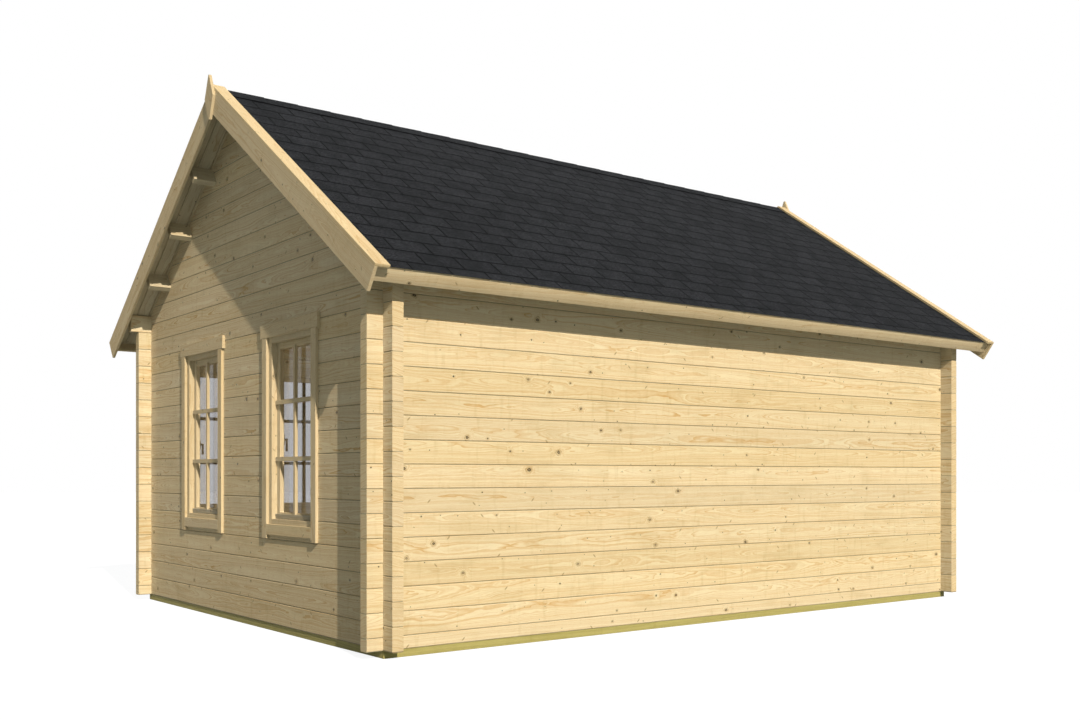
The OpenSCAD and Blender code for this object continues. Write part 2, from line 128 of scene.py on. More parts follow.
# The sky is brighter on the sun's side, which lies towards -Y.
sky_level, sunny_side = 0.13, 0.22
sky = bpy.data.worlds.new("sky")
sky.use_nodes = True
scene.world = sky
tree = sky.node_tree
tree.nodes.clear()
sunwards = split(tree, put(tree, "TexCoord").outputs["Generated"])[1]
sunwards = calc(tree, "MAXIMUM", calc(tree, "MULTIPLY", sunwards, -1.0), 0.0)
fill = put(tree, "Background", (0.93, 1.05, 1.08, 1),
           calc(tree, "MULTIPLY_ADD", sunwards, sunny_side, sky_level))
white = put(tree, "Background", (1, 1, 1, 1), 1.0)
both = put(tree, "MixShader", seen_white(tree), fill.outputs[0], white.outputs[0])
put(tree, "OutputWorld", both.outputs[0])


def unmixed(label):
    """A finish with nothing in it yet, and its node tree."""
    made = bpy.data.materials.new(label)
    made.use_nodes = True
    made.node_tree.nodes.clear()
    return made, made.node_tree


# The ground shows white, keeps the cabin's shadow, and throws little light back up.
ground_reach = 60
ground_paint, tree = unmixed("pale_ground")
bounce = put(tree, "BsdfDiffuse", (0.22, 0.25, 0.26, 1))
glow = put(tree, "Emission", (1, 1, 1, 1), 0.90)
shadow = put(tree, "BsdfDiffuse", (0.20, 0.20, 0.20, 1))
shown = put(tree, "AddShader", glow.outputs[0], shadow.outputs[0])
both = put(tree, "MixShader", seen_white(tree), bounce.outputs[0], shown.outputs[0])
put(tree, "OutputMaterial", both.outputs[0])

bm = bmesh.new()
bmesh.ops.create_circle(bm, cap_ends=True, segments=64, radius=ground_reach)
ground = stand("ground", bpy.data.meshes.new("ground"))
bm.to_mesh(ground.data)
bm.free()
ground.data.materials.append(ground_paint)

# ---------------------------------------------------------------------------------------------
# Foundation beams and floor bearers
# Pressure-treated softwood laid flat on the ground under the walls, with bearers between the
# long beams. It is sawn, and tinted yellow-green by the treatment.


def vec(tree, operation, *feeds):
    """One step of arithmetic on places or colours."""
    return put(tree, "VectorMath", *feeds, operation=operation).outputs[0]


def smooth(tree, value, start, end, low=0.0, high=1.0):
    """Eases from low at start to high at end."""
    return put(tree, "MapRange", value, start, end, low, high,
               interpolation_type="SMOOTHSTEP").outputs[0]


def noise(tree, place, detail=2.0, rough=0.5):
    """Soft cloudy noise, one unit of place to a cloud. Its outputs are a number and a colour."""
    return put(tree, "TexNoise", place, None, 1.0, detail, rough).outputs


def colours(tree, amount, first, second, blend="MIX"):
    """Blends the second colour into the first by amount."""
    return put(tree, "Mix", amount, None, None, None, None, None, first, second,
               data_type="RGBA", blend_type=blend).outputs[2]


def tint(code):
    """A colour from its usual six-figure code."""
    parts = [int(code[k:k + 2], 16) / 255 for k in (0, 2, 4)]
    return tuple(p / 12.92 if p <= 0.04045 else ((p + 0.055) / 1.055) ** 2.4
                 for p in parts) + (1.0,)


def scatter(tree, cells):
    """One mark in each cell, off the cell's middle, with its own place and luck."""
    return put(tree, "TexVoronoi", cells, None, 1.0, 0.0, 0.5, 2.0, None, None, 0.85,
               voronoi_dimensions="2D").outputs


# The grain of softwood, cut out of round growth rings. Place is metres along the grain, across
# the face and into the board, from the board's middle. Board is a number of its own for each
# board, End is 1 on a sawn end, Heart is how deep the middle of the tree lies, and Knots is the
# share of the places for a knot that hold one.
timber = bpy.data.node_groups.new("timber", "ShaderNodeTree")
for label, kind, value in (
        ("Place", "Vector", None), ("Board", "Float", 0.0), ("End", "Float", 0.0),
        ("Heart", "Float", 0.05), ("Knots", "Float", 0.5), ("Pale", "Color", None),
        ("Grain", "Color", None), ("Knot", "Color", None)):
    socket = timber.interface.new_socket(label, in_out="INPUT", socket_type="NodeSocket" + kind)
    if value is not None:
        socket.default_value = value
for label, kind in (("Color", "Color"), ("Roughness", "Float"), ("Height", "Float")):
    timber.interface.new_socket(label, in_out="OUTPUT", socket_type="NodeSocket" + kind)
t = timber
given = t.nodes.new("NodeGroupInput").outputs
chance = put(t, "TexWhiteNoise", None, calc(t, "MULTIPLY", given["Board"], 917.3),
             noise_dimensions="1D").outputs["Color"]
luck = split(t, chance)
here = vec(t, "ADD", given["Place"], vec(t, "MULTIPLY", chance, (61.0, 9.0, 7.0)))

# Knots stand in rows of cells, some cells empty, each knot with its own size and darkness.
knot_every, knot_row, knot_squash = 0.17, 0.068, 0.8
smallest_knot, knot_growth = 0.0024, 0.0075
cells = vec(t, "MULTIPLY", here, (1 / knot_every, 1 / knot_row, 0))
knot = scatter(t, cells)
away = vec(t, "MULTIPLY", vec(t, "SUBTRACT", cells, knot["Position"]),
           (knot_every * knot_squash, knot_row, 0))
wobble = noise(t, vec(t, "MULTIPLY", here, (55, 75, 75)), 1.0)[0]
away = put(t, "VectorMath", away, operation="LENGTH").outputs["Value"]
away = calc(t, "MULTIPLY", away, smooth(t, wobble, 0.2, 0.8, 0.75, 1.25))
lot = split(t, knot["Color"])
radius = calc(t, "MULTIPLY_ADD", calc(t, "POWER", lot[0], 4.5), knot_growth, smallest_knot)
kept = calc(t, "LESS_THAN", lot[1], given["Knots"])
core = calc(t, "MULTIPLY", kept, smooth(t, calc(t, "DIVIDE", away, radius), 1.08, 0.9))
beyond = calc(t, "DIVIDE", calc(t, "SUBTRACT", away, radius), radius)
large = calc(t, "MULTIPLY", kept, smooth(t, radius, 0.0038, 0.0065))
halo = calc(t, "MULTIPLY", calc(t, "MULTIPLY_ADD", large, 0.75, calc(t, "MULTIPLY", kept, 0.25)),
            smooth(t, beyond, 1.7, 0.3))
swirl = calc(t, "MULTIPLY", large, smooth(t, beyond, 4.5, 0.0))
lip = calc(t, "MULTIPLY", large, smooth(t, calc(t, "ABSOLUTE", calc(
    t, "SUBTRACT", beyond, 0.65)), 0.17, 0.03))

# Spike knots, cut along their length, lie aslant as short amber marks.
spike_every, spike_row, spike_long, spike_thick = 0.36, 0.11, 0.025, 0.008
cells = vec(t, "MULTIPLY", here, (1 / spike_every, 1 / spike_row, 0))
slant = scatter(t, cells)
chip = split(t, vec(t, "MULTIPLY", vec(t, "SUBTRACT", cells, slant["Position"]),
                    (spike_every, spike_row, 0)))
slant_lot = split(t, slant["Color"])
lean = calc(t, "MULTIPLY_ADD", calc(t, "GREATER_THAN", slant_lot[0], 0.5), 2.0, -1.0)
along = calc(t, "MULTIPLY_ADD", chip[1], lean, chip[0])
thick = calc(t, "SUBTRACT", chip[0], calc(t, "MULTIPLY", chip[1], lean))
mark = calc(t, "ADD", calc(t, "POWER", calc(t, "MULTIPLY", along, 1 / spike_long), 2.0),
            calc(t, "POWER", calc(t, "MULTIPLY", thick, 1 / spike_thick), 2.0))
spike = calc(t, "MULTIPLY", smooth(t, mark, 1.0, 0.05),
             calc(t, "LESS_THAN", slant_lot[1], given["Knots"]))

# Growth rings round the heart, which wanders along the board and is pushed aside by knots.
ring_step = 0.0037
sway = vec(t, "SUBTRACT", noise(t, vec(t, "MULTIPLY", here, (0.7, 4, 4)))["Color"],
           (0.5, 0.5, 0.5))
ripple = vec(t, "SUBTRACT", noise(t, vec(t, "MULTIPLY", here, (5, 24, 24)))["Color"],
             (0.5, 0.5, 0.5))
bent = vec(t, "ADD", given["Place"], vec(t, "MULTIPLY", sway, (0, 0.075, 0.075)))
bent = split(t, vec(t, "ADD", bent, vec(t, "MULTIPLY", ripple, (0, 0.012, 0.012))))
side = calc(t, "MULTIPLY_ADD", calc(t, "SUBTRACT", luck[1], 0.5), -0.08, bent[1])
side = calc(t, "MULTIPLY_ADD", given["End"], 0.45, side)
deep = calc(t, "SUBTRACT", calc(t, "MULTIPLY_ADD", luck[2], -0.05, bent[2]), given["Heart"])
ring = calc(t, "SQRT", calc(t, "ADD", calc(t, "MULTIPLY", side, side),
                            calc(t, "MULTIPLY", deep, deep)))
ring = calc(t, "ADD", ring, calc(t, "MULTIPLY", bent[0],
                                 calc(t, "MULTIPLY_ADD", luck[0], 0.03, -0.015)))
ring = calc(t, "MULTIPLY_ADD", swirl, calc(t, "MULTIPLY", radius, 2.0), ring)
band = put(t, "TexNoise", None, calc(t, "MULTIPLY_ADD", ring, 95.0, given["Board"]), 1.0, 4.0,
           0.7, noise_dimensions="1D").outputs[0]
band = smooth(t, band, 0.40, 0.68)
late = calc(t, "POWER", calc(t, "FRACT", calc(t, "MULTIPLY", ring, 1 / ring_step)), 2.5)
year = put(t, "TexNoise", None, calc(t, "MULTIPLY_ADD", ring, 210.0, given["Board"]), 1.0, 1.0,
           noise_dimensions="1D").outputs[0]
late = calc(t, "MULTIPLY", late, smooth(t, year, 0.35, 0.65, 0.25, 1.0))
thread = noise(t, vec(t, "MULTIPLY", here, (6, 330, 330)))[0]
fibre = noise(t, vec(t, "MULTIPLY", here, (45, 420, 420)), 1.0)[0]
patch = smooth(t, noise(t, vec(t, "MULTIPLY", here, (2.3, 8, 8)), 3.0, 0.6)[0], 0.48, 0.72)
cloud = smooth(t, noise(t, vec(t, "MULTIPLY", here, (24, 4, 4)), 3.0, 0.6)[0], 0.52, 0.78)

# Colour, from pale early wood to amber late wood, with greyer patches and brown knots.
strength = calc(t, "MULTIPLY_ADD", given["End"], -0.3, 0.62)
figure = calc(t, "MULTIPLY_ADD", band, 0.36, calc(t, "MULTIPLY", late, strength))
figure = calc(t, "ADD", figure, calc(t, "MULTIPLY_ADD", thread, 0.5, -0.19))
figure = calc(t, "ADD", figure, calc(t, "MULTIPLY_ADD", fibre, 0.4, -0.2), clamp=True)
wood = colours(t, figure, given["Pale"], given["Grain"])
wood = colours(t, calc(t, "MULTIPLY", patch, 0.5), wood, (0.83, 0.80, 0.72, 1), "MULTIPLY")
wood = colours(t, calc(t, "MULTIPLY", cloud, 0.55), wood, (0.86, 0.82, 0.72, 1), "MULTIPLY")
tone = smooth(t, calc(t, "FRACT", calc(t, "MULTIPLY", luck[0], 7.0)), 0.0, 1.0, 0.905, 1.0)
wood = colours(t, calc(t, "FRACT", calc(t, "MULTIPLY", luck[1], 5.0)), wood,
               (1.0, 0.97, 0.88, 1), "MULTIPLY")
wood = colours(t, 1.0, wood, put(t, "CombineXYZ", tone, tone, tone).outputs[0], "MULTIPLY")
wood = colours(t, calc(t, "MULTIPLY", given["End"], 0.3), wood, (0.90, 0.84, 0.74, 1),
               "MULTIPLY")
brown = colours(t, 0.55, given["Grain"], given["Knot"])
wood = colours(t, calc(t, "MULTIPLY", spike, 0.72), wood, brown)
amber = colours(t, 0.3, given["Grain"], given["Knot"])
wood = colours(t, calc(t, "MULTIPLY", halo, 0.34), wood, amber)
wood = colours(t, calc(t, "MULTIPLY", lip, 0.45), wood, given["Knot"])
dark = calc(t, "MULTIPLY", core, smooth(t, lot[2], 0.1, 0.6, 0.65, 1.0))
dark = calc(t, "MULTIPLY", dark, calc(t, "SUBTRACT", 1.0, calc(
    t, "MULTIPLY", large, smooth(t, beyond, -0.35, -0.75, 0.0, 0.4))))
wood = colours(t, dark, wood, given["Knot"])
shine = calc(t, "MULTIPLY_ADD", figure, 0.16, 0.56)
shine = calc(t, "MULTIPLY_ADD", core, -0.18, shine)
raised = calc(t, "MULTIPLY_ADD", late, 0.4, calc(t, "MULTIPLY", thread, 0.6))
raised = calc(t, "MULTIPLY_ADD", core, 0.5, raised)
out = t.nodes.new("NodeGroupOutput")
t.links.new(wood, out.inputs["Color"])
t.links.new(shine, out.inputs["Roughness"])
t.links.new(raised, out.inputs["Height"])


def surface(tree, face, rough, height, strength, depth):
    """The skin of a finish: its colour, its roughness and its fine relief."""
    skin = tree.nodes.new("ShaderNodeBsdfPrincipled")
    tree.links.new(face, skin.inputs["Base Color"])
    tree.links.new(rough, skin.inputs["Roughness"])
    bump = put(tree, "Bump", strength, depth)
    tree.links.new(height, bump.inputs["Height"])
    tree.links.new(bump.outputs[0], skin.inputs["Normal"])
    return skin


def wooden(label, pale, grain, knot, heart=0.05, knots=0.5, relief=0.0003, lie=None):
    """A timber finish. Each board carries its own grain, unless lie works it out from place."""
    made, tree = unmixed(label)
    joint_shade = None
    if lie:
        place, board, end, joint_shade = lie(tree)
    else:
        place = put(tree, "Attribute", attribute_name="grain").outputs["Vector"]
        board = put(tree, "Attribute", attribute_name="board").outputs["Fac"]
        end = put(tree, "Attribute", attribute_name="cut").outputs["Fac"]
    # Only the broad faces show knots, which would be drawn out to bars on an edge or a sawn end.
    narrow = end if lie else put(tree, "Attribute", attribute_name="narrow").outputs["Fac"]
    spread = calc(tree, "MULTIPLY_ADD", narrow, -knots, knots)
    wood = tree.nodes.new("ShaderNodeGroup")
    wood.node_tree = timber
    for name, feed in (("Place", place), ("Board", board), ("End", end), ("Knots", spread)):
        tree.links.new(feed, wood.inputs[name])
    for name, value in (("Heart", heart), ("Pale", tint(pale)), ("Grain", tint(grain)),
                        ("Knot", tint(knot))):
        wood.inputs[name].default_value = value
    face = wood.outputs["Color"]
    # Painted shade along the log joints, where the lie gives it.
    if joint_shade:
        face = colours(tree, joint_shade, face, tint("4a4232"))
    # Light thrown on by the wood is kept paler than its face, so that shade stays neutral.
    thrown = calc(tree, "MULTIPLY", put(tree, "LightPath").outputs["Is Diffuse Ray"], 0.9)
    face = colours(tree, thrown, face, tint("cdccc6"))
    skin = surface(tree, face, wood.outputs["Roughness"], wood.outputs["Height"], 0.6, relief)
    skin.inputs["Specular IOR Level"].default_value = 0.18
    put(tree, "OutputMaterial", skin.outputs[0])
    return made


def once(things):
    """Each thing once, in the order in which it comes."""
    return list(dict.fromkeys(things))


def pieces_of(bm):
    """The corners of each loose piece of bm in turn."""
    left = set(bm.verts)
    for first in list(bm.verts):
        if first not in left:
            continue
        left.discard(first)
        piece, next_up = [first], [first]
        while next_up:
            corner = next_up.pop()
            for edge in corner.link_edges:
                other = edge.other_vert(corner)
                if other in left:
                    left.discard(other)
                    piece.append(other)
                    next_up.append(other)
        yield piece


def give_grain(bm, seed):
    """Runs the grain of every loose board in bm along its longest edge."""
    grain = bm.verts.layers.float_vector.new("grain")
    board = bm.verts.layers.float.new("board")
    cut = bm.faces.layers.float.new("cut")
    narrow = bm.faces.layers.float.new("narrow")
    for number, corners in enumerate(pieces_of(bm), 1):
        faces = once(f for v in corners for f in v.link_faces)
        longest = max((e for v in corners for e in v.link_edges), key=lambda e: e.calc_length())
        along = (longest.verts[1].co - longest.verts[0].co).normalized()
        if along[max(range(3), key=lambda k: abs(along[k]))] < 0:
            along = -along
        flat = max(faces, key=lambda f: f.calc_area() * (1 - abs(f.normal.dot(along))))
        into = (flat.normal - along * flat.normal.dot(along)).normalized()
        across = into.cross(along)
        spots = [(v.co.dot(along), v.co.dot(across), v.co.dot(into)) for v in corners]
        middle = [(min(p[k] for p in spots) + max(p[k] for p in spots)) / 2 for k in range(3)]
        own = (seed + number * 0.61803) % 1
        for v, p in zip(corners, spots):
            v[grain] = [p[k] - middle[k] for k in range(3)]
            v[board] = own
        for f in faces:
            f[cut] = 1.0 if abs(f.normal.dot(along)) > 0.8 else 0.0
            f[narrow] = 1.0 if abs(f.normal.dot(into)) < 0.5 else 0.0


def finished(name, bm, finishes, nodes=(), seed=None):
    """Makes bm a piece of the cabin, in place of the solids it stands for."""
    if seed is not None:
        give_grain(bm, seed)
    piece = stand(name, bpy.data.meshes.new(name))
    bm.to_mesh(piece.data)
    bm.free()
    for finish in finishes:
        piece.data.materials.append(finish)
    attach(piece, "root")
    if nodes:
        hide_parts(*nodes)


def eased(bm, edges, by, segments=2):
    """Rounds edges over, or chamfers them where segments is 1."""
    bmesh.ops.bevel(bm, geom=edges, offset=by, offset_type="OFFSET", segments=segments,
                    profile=0.5, affect="EDGES", clamp_overlap=True, material=-1)


def copied(*nodes):
    """The joined-up meshes of some solids, copied."""
    touching = 0.00002
    bm = bmesh.new()
    for node in nodes:
        bm.from_mesh(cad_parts[node].data)
    bmesh.ops.remove_doubles(bm, verts=bm.verts, dist=touching)
    return bm


# Faces that meet within level_angle are one face, and edges past sharp_angle are eased.
arris, level_angle, sharp_angle = 0.002, 0.01, 0.3


def planed(name, nodes, finish, seed):
    """Solids taken over as they are, with their sharp edges eased."""
    bm = copied(*nodes)
    bmesh.ops.dissolve_limit(bm, angle_limit=level_angle, verts=bm.verts, edges=bm.edges)
    eased(bm, [e for e in bm.edges if e.calc_face_angle(0) > sharp_angle], arris)
    finished(name, bm, [finish], nodes, seed)


treated = wooden("treated_timber", "cbbd74", "988848", "5a4a22", heart=0.03, knots=0.55,
                 relief=0.0008)
planed("foundation_timber", ["foundation_beams"], treated, 0.11)
planed("bearer_timber", ["floor_bearers"], treated, 0.23)

# ---------------------------------------------------------------------------------------------
# Floor
# Narrow planed spruce boards laid along the cabin over the bearers, tongue and groove, their
# top edges eased so that each joint shows as a fine line.
floor_pine = wooden("floor_pine", "f2d6a2", "d9b176", "6b4a26", knots=0.4)


def block(bm, place, low, high):
    """A squared block between two corners, with sharp edges. Gives its corners."""
    low, high = Vector(low), Vector(high)
    shape = place @ Matrix.Translation((low + high) / 2) @ Matrix.Diagonal((*(high - low), 1))
    return bmesh.ops.create_cube(bm, size=1, matrix=shape)["verts"]


def edges_of(corners):
    """Every edge that meets one of the corners."""
    return once(e for v in corners for e in v.link_edges)


def plank(bm, place, low, high, ease=arris, segments=2):
    """A squared board between two corners, with all its edges eased."""
    eased(bm, edges_of(block(bm, place, low, high)), ease, segments)


# Each row is two boards long, and the joint between them shifts from row to row.
rows, floor_arris = 38, 0.0012
low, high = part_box("floor_boards")
wide = (high.y - low.y) / rows
bm = bmesh.new()
for row in range(rows):
    start = low.y + row * wide
    joint = low.x + (high.x - low.x) * ((row * 0.618) % 1 * 0.5 + 0.25)
    for x0, x1 in ((low.x, joint), (joint, high.x)):
        plank(bm, Matrix.Identity(4), (x0, start, low.z), (x1, start + wide, high.z),
              floor_arris, 1)
finished("floor", bm, [floor_pine], ["floor_boards"], 0.37)

# ---------------------------------------------------------------------------------------------
# Wall logs
# Planed spruce logs stacked tongue into groove, with small chamfers along every joint, and
# lapped at the corners so that their sawn ends stand out past the crossing wall.
log_height, log_thick = 0.135, 0.070
half_long, half_deep = 2.65, 1.90


def log_courses(run, first_joint):
    """Splits a wall into its logs. Run is 0 for logs along X and 1 for logs along Y."""
    middle = (half_deep, half_long)[run] - log_thick / 2

    def lie(tree):
        at = split(tree, put(tree, "TexCoord").outputs["Object"])
        facing = split(tree, put(tree, "TexCoord").outputs["Normal"])
        out = at[1 - run]
        up = calc(tree, "MULTIPLY", calc(tree, "SUBTRACT", at[2], first_joint), 1 / log_height)
        course = calc(tree, "MAXIMUM", calc(tree, "FLOOR", up), 0.0)
        across = calc(tree, "MULTIPLY", calc(tree, "SUBTRACT", calc(tree, "SUBTRACT", up, course),
                                             0.5), log_height)
        into = calc(tree, "SUBTRACT", calc(tree, "ABSOLUTE", out), middle)
        place = put(tree, "CombineXYZ", at[run], across, into).outputs[0]
        side = calc(tree, "MULTIPLY", calc(tree, "SIGN", out), 0.17 + 0.1 * run)
        board = calc(tree, "FRACT", calc(tree, "MULTIPLY_ADD", course, 0.61803,
                                         calc(tree, "ADD", side, 0.5)))
        end = calc(tree, "GREATER_THAN", calc(tree, "ABSOLUTE", facing[run]), 0.8)
        # Each log's face is painted darker along its joints: painted shade in the gap between the
        # logs.
        edge = calc(tree, "SUBTRACT", log_height / 2, calc(tree, "ABSOLUTE", across))
        joint_shade = smooth(tree, edge, 0.0024, 0.0010, 0.0, 0.6)
        return place, board, end, joint_shade
    return lie


def dressed(node, finish):
    """Gives the solids of a node their finish, and leaves their shape as it is."""
    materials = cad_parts[node].data.materials
    materials.clear()
    materials.append(finish)


long_joint, gable_joint = -0.0172, 0.0503
long_pine = wooden("long_wall_pine", "fde9be", "dfb06c", "564a30", heart=0.06, knots=0.34,
                   relief=0.0004, lie=log_courses(0, long_joint))
# The gable logs' grain is darker than the long walls': partly stronger grain, partly painted
# shade for the low sun on the gables.
gable_pine = wooden("gable_wall_pine", "fde8be", "d6a661", "564a30", heart=0.06, knots=0.26,
                    relief=0.0009, lie=log_courses(1, gable_joint))
dressed("back_wall_logs", long_pine)
dressed("front_wall_logs", long_pine)
dressed("left_gable_logs", gable_pine)
dressed("right_gable_logs", gable_pine)

# ---------------------------------------------------------------------------------------------
# Window frames and sashes
# Frames let into the logs, with inward-opening sashes set back in them. Frames and sashes are
# planed members, the uprights running through and the rails fitted between them.
trim_pine = wooden("trim_pine", "f6dfb3", "dcb47c", "564a30", knots=0.36)


def solids(node):
    """The lowest and highest corner of each loose solid of a node."""
    bm = copied(node)
    boxes = []
    for corners in pieces_of(bm):
        boxes.append((Vector(min(v.co[k] for v in corners) for k in range(3)),
                      Vector(max(v.co[k] for v in corners) for k in range(3))))
    bm.free()
    return sorted(boxes, key=lambda box: tuple(box[0]))


def wall_place(x, y, turn):
    """A wall's own place: across its face, inwards from its outer face, and up."""
    return Matrix.Translation((x, y, 0)) @ Matrix.Rotation(math.radians(turn), 4, "Z")


wall_places = {"left": wall_place(-half_long, 0, -90), "right": wall_place(half_long, 0, 90),
               "front": wall_place(0, half_deep, 180)}


def in_wall(wall, node):
    """A node's solids as boxes in the wall's own place."""
    back = wall_places[wall].inverted()
    boxes = []
    for low, high in solids(node):
        a, b = back @ low, back @ high
        boxes.append((Vector(map(min, a, b)), Vector(map(max, a, b))))
    return boxes


def joined_frame(bm, place, low, high, post, rail, ease=arris):
    """Two posts the full height, with a rail between them at the top and at the bottom."""
    for x0, x1 in ((low.x, low.x + post), (high.x - post, high.x)):
        plank(bm, place, (x0, low.y, low.z), (x1, high.y, high.z), ease)
    for z0, z1 in ((low.z, low.z + rail), (high.z - rail, high.z)):
        plank(bm, place, (low.x + post, low.y, z0), (high.x - post, high.y, z1), ease)


jamb, head = 0.062, 0.058
stile, sash_arris = 0.042, 0.0025
for wall, place in wall_places.items():
    bm = bmesh.new()
    for low, high in in_wall(wall, wall + "_window_frames"):
        joined_frame(bm, place, low, high, jamb, head)
    finished(wall + "_frames", bm, [trim_pine], [wall + "_window_frames"], 0.41)
    bm = bmesh.new()
    for low, high in in_wall(wall, wall + "_window_sashes"):
        joined_frame(bm, place, low, high, stile, stile, sash_arris)
    finished(wall + "_sashes", bm, [trim_pine], [wall + "_window_sashes"], 0.53)

# ---------------------------------------------------------------------------------------------
# Glazing bars
# A light grille of planed bars on the outside of each sash, one upright crossed by two deeper
# level ones. It stands a little proud of the sash, and its ends lap over the stiles and rails.
bar, level_bar, bar_front, bar_back = 0.022, 0.027, 0.024, 0.045
bar_heights = (1.105, 1.470)
# The upright stands a hair back from the faces of the level bars.
hair = 0.0006
sash_front, upright_lap, level_lap = 0.037, 0.012, 0.034


def grille_bar(bm, place, low, high, lap, run):
    """A bar between the sash members, its front half carried on over them by lap."""
    low, high = Vector(low), Vector(high)
    corners = block(bm, place, low, high)
    turn = place.to_3x3()
    across, inward, upright = turn.col[0], turn.col[1], turn.col[2]
    ends, beside = (across, upright) if run == "level" else (upright, across)
    near = once(f for v in corners for f in v.link_faces)
    geom = near + once(e for f in near for e in f.edges) + list(corners)
    step = place @ Vector((0, sash_front, 0))
    bmesh.ops.bisect_plane(bm, geom=geom, dist=1e-6, plane_co=step, plane_no=inward)
    middle = place @ ((low + high) / 2)
    half = (high.x - low.x if run == "level" else high.z - low.z) / 2
    for way in (-ends, ends):
        tip = []
        for face in bm.faces:
            at = face.calc_center_median()
            off = at - middle
            if (face.normal.dot(way) > 0.9 and abs(off.dot(way) - half) < 1e-4
                    and abs(off.dot(beside)) < level_bar / 2 and (at - step).dot(inward) < 0):
                tip.append(face)
        pulled = bmesh.ops.extrude_face_region(bm, geom=tip)["geom"]
        moved = [g for g in pulled if isinstance(g, bmesh.types.BMVert)]
        bmesh.ops.translate(bm, verts=moved, vec=way * lap)
        bmesh.ops.delete(bm, geom=tip, context="FACES_ONLY")


for wall, place in wall_places.items():
    bm = bmesh.new()
    for low, high in in_wall(wall, wall + "_window_sashes"):
        x0, x1, z0, z1 = low.x + stile, high.x - stile, low.z + stile, high.z - stile
        mid = (x0 + x1) / 2
        grille_bar(bm, place, (mid - bar / 2, bar_front + hair, z0),
                   (mid + bar / 2, bar_back - hair, z1), upright_lap, "upright")
        for up in bar_heights:
            grille_bar(bm, place, (x0, bar_front, up - level_bar / 2),
                       (x1, bar_back, up + level_bar / 2), level_lap, "level")
    finished(wall + "_bars", bm, [trim_pine], (), 0.61)

# ---------------------------------------------------------------------------------------------
# Weather bars
# A moulded strip along the foot of each sash, glued to its outside. The top slopes to throw the
# rain off, and the face is cut back underneath so that it drips clear of the sill.
strip_out, strip_foot, strip_nose, strip_top = 0.014, 0.012, 0.031, 0.034
strip_short, strip_up, strip_arris = 0.003, 0.001, 0.0015
# The weather bars' wood is a darker copy of the trim's: painted shade for the shade that lies on
# the bars.
shaded_bar_wood = wooden("weather_bar_wood", "c8bba0", "b2976e", "564a30", knots=0.1)
for wall, place in wall_places.items():
    bm = bmesh.new()
    back = place.inverted()
    for low, high in in_wall(wall, wall + "_window_sashes"):
        strip = block(bm, place, (low.x + strip_short, low.y - strip_out, low.z + strip_up),
                      (high.x - strip_short, low.y, low.z + strip_top))
        for v in strip:
            at = back @ v.co
            if at.y < low.y - strip_out / 2:
                at.y = low.y - (strip_foot if at.z < low.z + strip_top / 2 else strip_out)
                at.z = min(at.z, low.z + strip_nose)
                v.co = place @ at
        eased(bm, edges_of(strip), strip_arris, 1)
    finished(wall + "_weather_bars", bm, [shaded_bar_wood], (), 0.71)

# ---------------------------------------------------------------------------------------------
# Window glass
# Clear float glass, faintly grey, one pane to a sash. It is held in grooves near the inner face,
# behind the grille of bars.
pane, tree = unmixed("window_glass")
spot = put(tree, "TexCoord").outputs["Object"]
smear = noise(tree, vec(tree, "MULTIPLY", spot, (3, 3, 2)), 2.0)[0]
waves = noise(tree, vec(tree, "MULTIPLY", spot, (6, 6, 3)), 0.0)[0]
skin = surface(tree, colours(tree, smear, tint("cfcfcf"), tint("cbcbcd")),
               smooth(tree, smear, 0.35, 0.75, 0.0, 0.006), waves, 0.05, 0.0002)
skin.inputs["Transmission Weight"].default_value = 1.0
skin.inputs["IOR"].default_value = 1.2
# The sun passes through the pane, so that it lights the room.
clear = put(tree, "BsdfTransparent", tint("e2e6e6"))
sunray = put(tree, "LightPath").outputs["Is Shadow Ray"]
both = put(tree, "MixShader", sunray, skin.outputs[0], clear.outputs[0])
put(tree, "OutputMaterial", both.outputs[0])
for wall in wall_places:
    dressed(wall + "_window_glass", pane)

# ---------------------------------------------------------------------------------------------
# Window casings
# Flat planed boards nailed round the frames: a header that runs out past the sides, an apron
# under the sill, and side boards with short tails. Plain boards close the joint inside.
for wall, seed in (("left", 0.13), ("right", 0.29), ("front", 0.71)):
    planed(wall + "_casings", [wall + "_window_casings"], trim_pine, seed)

# ---------------------------------------------------------------------------------------------
# Window handles and hinges
# A dark bronze lever on the inside of the opening stile, its plate held by two screws, and two
# turned barrel hinges on the stile opposite.
bronze, tree = unmixed("dark_bronze")
spot = put(tree, "TexCoord").outputs["Object"]
rub = noise(tree, vec(tree, "MULTIPLY", spot, (60, 60, 25)), 4.0, 0.6)[0]
skin = surface(tree, colours(tree, smooth(tree, rub, 0.45, 0.7), tint("4e4431"), tint("7c6d50")),
               smooth(tree, rub, 0.3, 0.7, 0.28, 0.5), rub, 0.3, 0.0002)
skin.inputs["Metallic"].default_value = 0.85
put(tree, "OutputMaterial", skin.outputs[0])


def round_bar(bm, place, foot, tip, thick, tip_thick=None, ease=0.0015, segments=16):
    """A round bar from foot to tip, its ends rounded over."""
    foot, tip = Vector(foot), Vector(tip)
    stood = (tip - foot).to_track_quat("Z", "Y").to_matrix().to_4x4()
    made = bmesh.ops.create_cone(bm, cap_ends=True, segments=segments, radius1=thick / 2,
                                 radius2=(tip_thick or thick) / 2, depth=(tip - foot).length,
                                 matrix=place @ Matrix.Translation((foot + tip) / 2) @ stood)
    eased(bm, [e for e in edges_of(made["verts"]) if e.calc_face_angle(0) > 1.0], ease)


plate_wide, plate_tall, plate_thick, plate_round = 0.028, 0.070, 0.008, 0.004
screw_thick, screw_up, screw_foot, screw_head = 0.0075, 0.027, 0.007, 0.0095
neck_foot, neck_past, neck_thick, neck_tip = 0.006, 0.006, 0.0140, 0.0125
grip_over, grip_thick, grip_tip, grip_round = 0.009, 0.0125, 0.0155, 0.005


